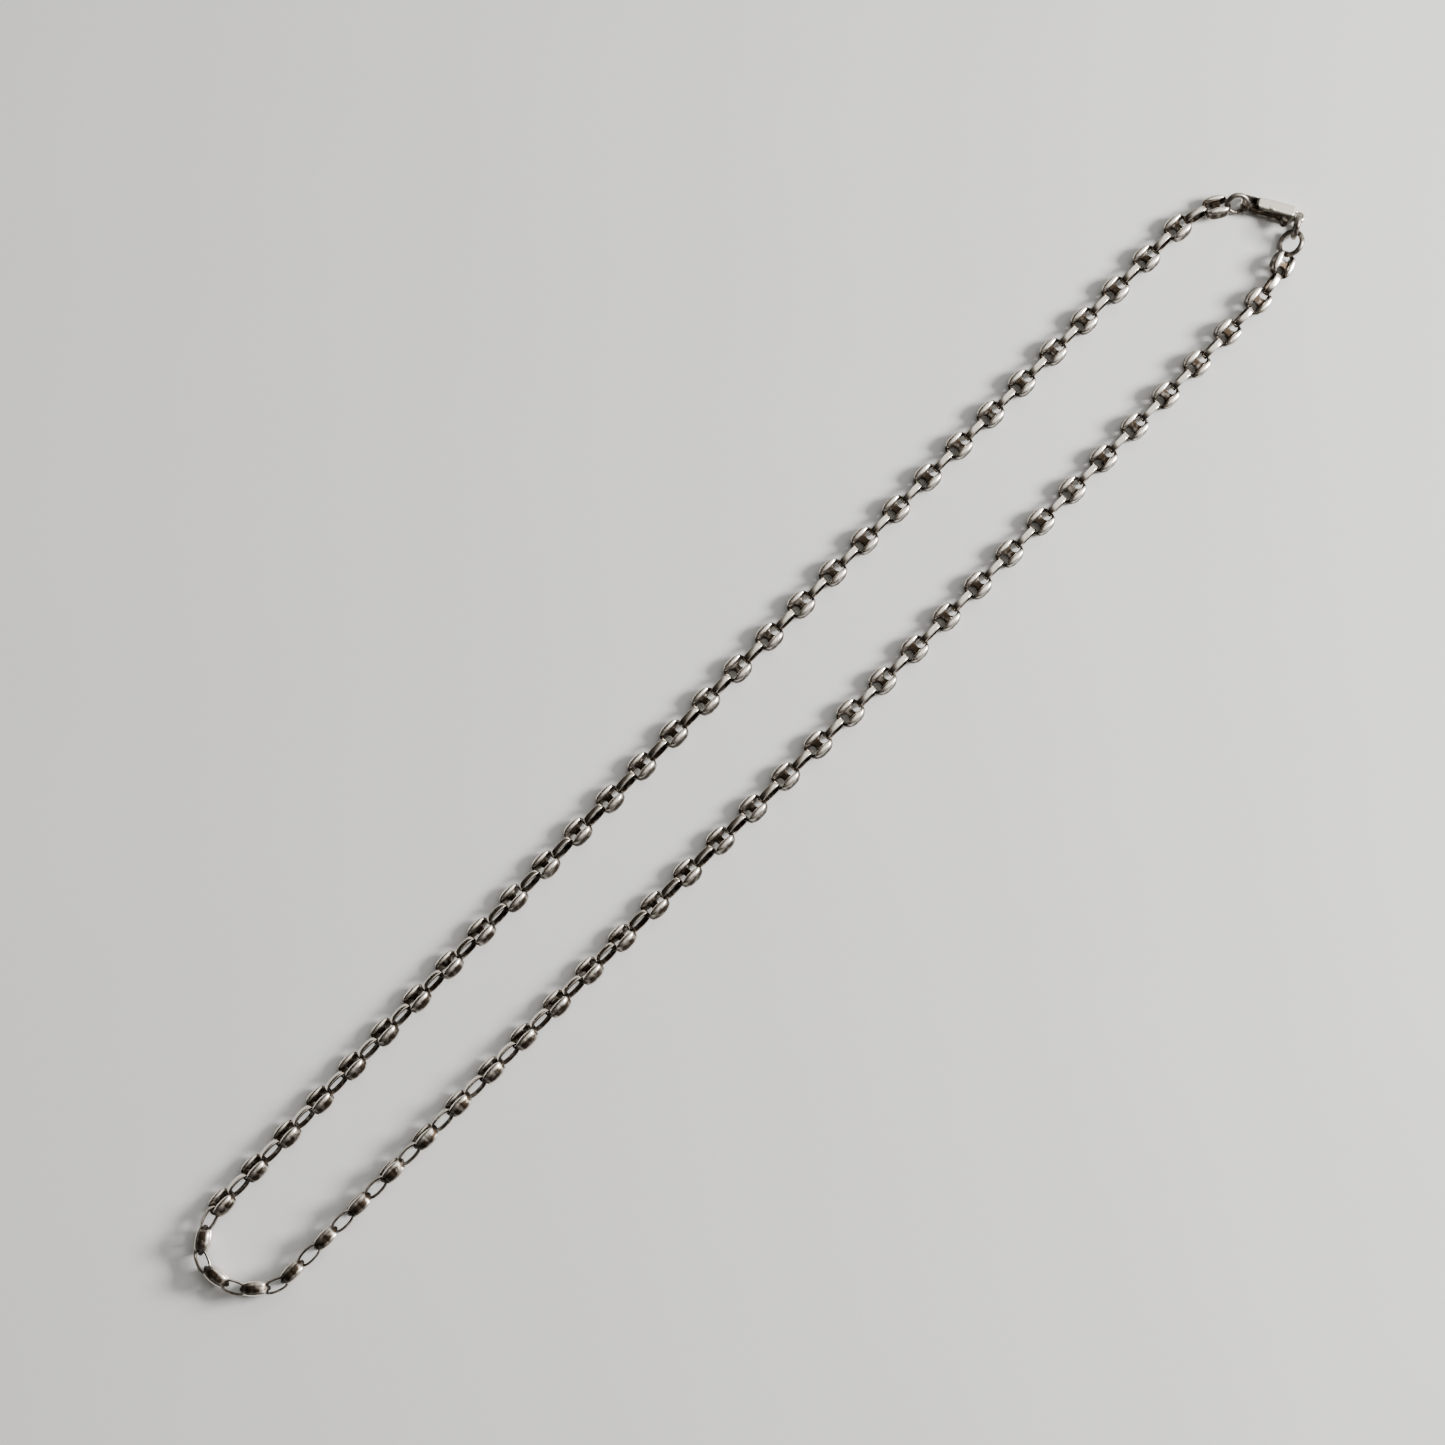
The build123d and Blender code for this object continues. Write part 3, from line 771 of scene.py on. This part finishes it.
def table_top(look):
    """Matte pale table with very fine grain."""
    material, nodes, links = node_setup("pale table")
    if nodes is None:
        return material
    shader = nodes["Principled BSDF"]
    shader.inputs["Specular IOR Level"].default_value = TABLE_SHINE
    fine = noise(nodes, links, TABLE_FINE_GRAIN, 3.0, 0.7)
    broad = noise(nodes, links, TABLE_BROAD_GRAIN, 2.0, 0.5)
    fine_half = ranged(nodes, links, fine, 0.3, 0.7, 0.0, 0.5)
    broad_half = ranged(nodes, links, broad, 0.3, 0.7, 0.0, 0.5)
    mix = nodes.new("ShaderNodeMix")
    mix.data_type = "RGBA"
    mix.inputs["A"].default_value = (*[c * TABLE_DARKEST for c in look.table], 1)
    mix.inputs["B"].default_value = (*look.table, 1)
    links.new(maths(nodes, links, "ADD", fine_half, broad_half), mix.inputs["Factor"])
    links.new(mix.outputs["Result"], shader.inputs["Base Color"])
    links.new(ranged(nodes, links, fine, 0.3, 0.7, 0.55, 0.7), shader.inputs["Roughness"])
    return material


# ------------------------------------------------------------------ settings
def tint(name, words, default):
    """A colour that the panel shows."""
    return bpy.props.FloatVectorProperty(
        name=name, description=words, default=default, subtype="COLOR", size=3, min=0, max=1
    )


class NecklaceSizes(bpy.types.PropertyGroup):
    bean_cell: bpy.props.FloatProperty(
        name="Bean detail",
        description="Size of the facets on a bean link, in millimetres",
        default=0.13,
        min=0.06,
    )
    claw_cell: bpy.props.FloatProperty(
        name="Claw detail",
        description="Size of the facets on the clasp, in millimetres",
        default=0.085,
        min=0.05,
    )
    ring_wire: bpy.props.FloatProperty(
        name="Ring wire",
        description="Thickness of the jump rings, in millimetres",
        default=0.85,
        min=0.3,
    )


class NecklaceLook(bpy.types.PropertyGroup):
    bright: tint("Silver", "Colour of the rubbed silver", (0.9, 0.83, 0.745))
    # The dark colour that both tarnish and painted shade mix the silver towards.
    tarnish_and_shade: tint("Tarnish", "Colour of the tarnish in the recesses", (0.036, 0.026, 0.018))
    clasp: tint("Clasp silver", "Colour of the satin clasp", (0.97, 0.9, 0.8))
    table: tint("Table", "Colour of the table", (0.617, 0.622, 0.617))


# ------------------------------------------------------------------ operators
def nodes_with(word):
    """The frame's nodes that have a word in their name, in order."""
    return sorted(name for name in frame["nodes"] if word in name)


class NECKLACE_OT_beans(bpy.types.Operator):
    """Build every bean link, at the bend, in the strands and at the clasp"""

    bl_idname = "necklace.beans"
    bl_label = "Bean links"

    def execute(self, context):
        sizes, look = context.scene.necklace_sizes, context.scene.necklace_look
        low = tuple(-reach for reach in BEAN_REACH)
        points, faces = skin(bean_field, low, BEAN_REACH, sizes.bean_cell)
        dark = bean_tarnish_and_shade(points)
        for node in nodes_with("link"):
            parts = []
            for centre, axes in loose_solids(node):
                place = (centre, right_handed(axes[BEAN_LONG_AXIS], axes[2]))
                parts.append((put(points, place), faces, dark, []))
            new_piece(node.replace("link", "bean"), parts, aged_silver(look), node)
        return {"FINISHED"}


class NECKLACE_OT_connectors(bpy.types.Operator):
    """Build every oval connector of flat strip"""

    bl_idname = "necklace.connectors"
    bl_label = "Oval connectors"

    def execute(self, context):
        look = context.scene.necklace_look
        points, faces = connector_mesh()
        dark = connector_tarnish_and_shade(points)
        for node in nodes_with("connector"):
            parts = []
            for centre, axes in loose_solids(node):
                place = (centre, right_handed(axes[0], axes[1]))
                parts.append((put(points, place), faces, dark, []))
            new_piece(node.replace("connector", "oval"), parts, strip_silver(look), node)
        return {"FINISHED"}


class NECKLACE_OT_rings(bpy.types.Operator):
    """Build the three round jump rings at the clasp"""

    bl_idname = "necklace.rings"
    bl_label = "Jump rings"

    def execute(self, context):
        sizes, look = context.scene.necklace_sizes, context.scene.necklace_look
        for node in nodes_with("_ring"):
            centre, axes = loose_solids(node)[0]
            normal = axes[2]
            level = np.cross((0, 0, 1.0), normal)
            level = level / np.linalg.norm(level)
            place = (centre, np.array([level, normal, np.cross(level, normal)]))
            outside = 2 * ring_reach(node, centre, normal) - RING_TRIM
            points, faces = ring_mesh(outside, sizes.ring_wire)
            part = (put(points, place), faces, np.full(len(points), RING_TARNISH), [])
            new_piece(node.replace("_ring", "_jump_ring"), [part], ring_silver(look), node)
        return {"FINISHED"}


def ring_reach(node, centre, normal):
    """Outer radius of a ring in the frame, in millimetres."""
    away = vertex_places(frame["nodes"][node].data) - centre
    return float(np.linalg.norm(away - np.outer(away @ normal, normal), axis=1).max())


class NECKLACE_OT_clasp(bpy.types.Operator):
    """Build the claw clasp: housing with its hook, lever, rivet and spring"""

    bl_idname = "necklace.clasp"
    bl_label = "Claw clasp"

    def execute(self, context):
        sizes, look = context.scene.necklace_sizes, context.scene.necklace_look
        place = claw_place()
        for node, name, field, cell, added_shade in (
            ("claw_body", "claw_housing", housing_field, sizes.claw_cell, 0.0),
            ("claw_lever", "claw_gate_lever", lever_field, sizes.claw_cell, LEVER_SHADE),
            ("claw_rivet", "claw_pin", rivet_field, sizes.claw_cell * RIVET_CELL, 0.0),
        ):
            points, faces = skin(field, CLAW_LOW, CLAW_HIGH, cell)
            # Tarnish and painted shade of the clasp, with painted shade over the whole lever.
            dark = claw_tarnish_and_shade(points) + added_shade
            part = (put(points, place), faces, dark, [])
            new_piece(name, [part], satin_silver(look), node)
        points, faces, caps = spring_mesh()
        part = (put(points, place), faces, np.full(len(points), SPRING_TARNISH), caps)
        new_piece("claw_coil", [part], spring_wire(look), "claw_spring")
        return {"FINISHED"}


def claw_tarnish_and_shade(points):
    """Tarnish round the tail eye, tarnish and painted shade in the pocket and on the lever there, and painted
    shade on the hook round the mouth and along the inner side.
    """
    x, y, z = points.T
    pocket = falling(np.abs(z), 0.6, 0.1) * (y < 0.65) * (x > 2.0) * (x < 6.8)
    eye = falling(tail_distance(x, y), 0.85, 0.2)
    mouth = falling(x, 3.0, 0.25) * rising(x, 0.25, 0.2)
    inner_side = falling(y, -0.75, 0.2)
    dark = pocket * POCKET_TARNISH_AND_SHADE + eye * TAIL_EYE_TARNISH + mouth * MOUTH_SHADE
    return np.clip(dark + inner_side * INNER_SIDE_SHADE, 0, 1)


class NECKLACE_OT_stage(bpy.types.Operator):
    """Lay the pale table, hang the studio lights and set the camera"""

    bl_idname = "necklace.stage"
    bl_label = "Table, lights and camera"

    def execute(self, context):
        scene, look = context.scene, context.scene.necklace_look
        bpy.ops.mesh.primitive_plane_add(size=TABLE_SIZE, location=(0, 0, CAD_BOX[0][2] - TABLE_DROP))
        table = context.object
        table.name = "pale_table"
        table.data.materials.append(table_top(look))
        for name, place, size, power, colour, seen in LIGHTS:
            lamp = bpy.data.lights.new(name, "AREA")
            lamp.shape = "RECTANGLE"
            lamp.size, lamp.size_y = size
            lamp.energy = power
            lamp.color = colour
            lamp_object = bpy.data.objects.new(name, lamp)
            scene.collection.objects.link(lamp_object)
            lamp_object.location = place
            lamp_object.visible_glossy = seen
            toward = Vector(LIGHT_AIM) - Vector(place)
            lamp_object.rotation_euler = toward.to_track_quat("-Z", "Y").to_euler()
        set_world(scene)
        set_camera(scene)
        return {"FINISHED"}


def set_world(scene):
    """Dim warm room that is bright overhead and towards the window side."""
    world = bpy.data.worlds.new("room")
    scene.world = world
    world.use_nodes = True
    nodes, links = world.node_tree.nodes, world.node_tree.links
    place = nodes.new("ShaderNodeTexCoord")
    toward = nodes.new("ShaderNodeVectorMath")
    toward.operation = "DOT_PRODUCT"
    toward.inputs[1].default_value = Vector(ROOM_AXIS).normalized()
    ramp = nodes.new("ShaderNodeValToRGB")
    links.new(place.outputs["Generated"], toward.inputs[0])
    links.new(toward.outputs["Value"], ramp.inputs["Fac"])
    stops = ramp.color_ramp.elements
    while len(stops) < len(ROOM_STOPS):
        stops.new(0.5)
    for stop, (position, colour) in zip(stops, ROOM_STOPS):
        stop.position, stop.color = position, (*colour, 1)
    links.new(ramp.outputs["Color"], nodes["Background"].inputs["Color"])


def set_camera(scene):
    """Long lens high over the table, turned so that the necklace lies on the diagonal."""
    camera = bpy.data.cameras.new("camera")
    camera.lens = LENS
    camera.sensor_width = SENSOR
    camera_object = bpy.data.objects.new("camera", camera)
    scene.collection.objects.link(camera_object)
    scene.camera = camera_object
    turn, lift = math.radians(CAMERA_TURN), math.radians(CAMERA_LIFT)
    up = Vector((-math.sin(turn), math.cos(turn), 0))
    above = Vector((0, 0, math.sin(lift) * CAMERA_DISTANCE))
    camera_object.location = Vector(LOOK_AT) - up * math.cos(lift) * CAMERA_DISTANCE + above
    camera_object.rotation_euler = (math.pi / 2 - lift, 0, turn)


# ------------------------------------------------------------------ panel and registration
class NECKLACE_PT_panel(bpy.types.Panel):
    """Buttons that build the necklace piece by piece"""

    bl_idname = "NECKLACE_PT_panel"
    bl_label = "Necklace"
    bl_space_type = "VIEW_3D"
    bl_region_type = "UI"
    bl_category = "Necklace"

    def draw(self, context):
        for name in ("bean_cell", "claw_cell", "ring_wire"):
            self.layout.prop(context.scene.necklace_sizes, name)
        for name in ("bright", "tarnish_and_shade", "clasp", "table"):
            self.layout.prop(context.scene.necklace_look, name)
        for operator in OPERATORS:
            self.layout.operator(operator.bl_idname)


OPERATORS = (
    NECKLACE_OT_beans,
    NECKLACE_OT_connectors,
    NECKLACE_OT_rings,
    NECKLACE_OT_clasp,
    NECKLACE_OT_stage,
)
CLASSES = (NecklaceSizes, NecklaceLook, *OPERATORS, NECKLACE_PT_panel)


def register():
    for cls in CLASSES:
        bpy.utils.register_class(cls)
    bpy.types.Scene.necklace_sizes = bpy.props.PointerProperty(type=NecklaceSizes)
    bpy.types.Scene.necklace_look = bpy.props.PointerProperty(type=NecklaceLook)


def unregister():
    del bpy.types.Scene.necklace_look
    del bpy.types.Scene.necklace_sizes
    for cls in reversed(CLASSES):
        bpy.utils.unregister_class(cls)


def main():
    register()
    bpy.ops.necklace.beans()
    bpy.ops.necklace.connectors()
    bpy.ops.necklace.rings()
    bpy.ops.necklace.clasp()
    bpy.ops.necklace.stage()


if __name__ == "__main__":
    main()
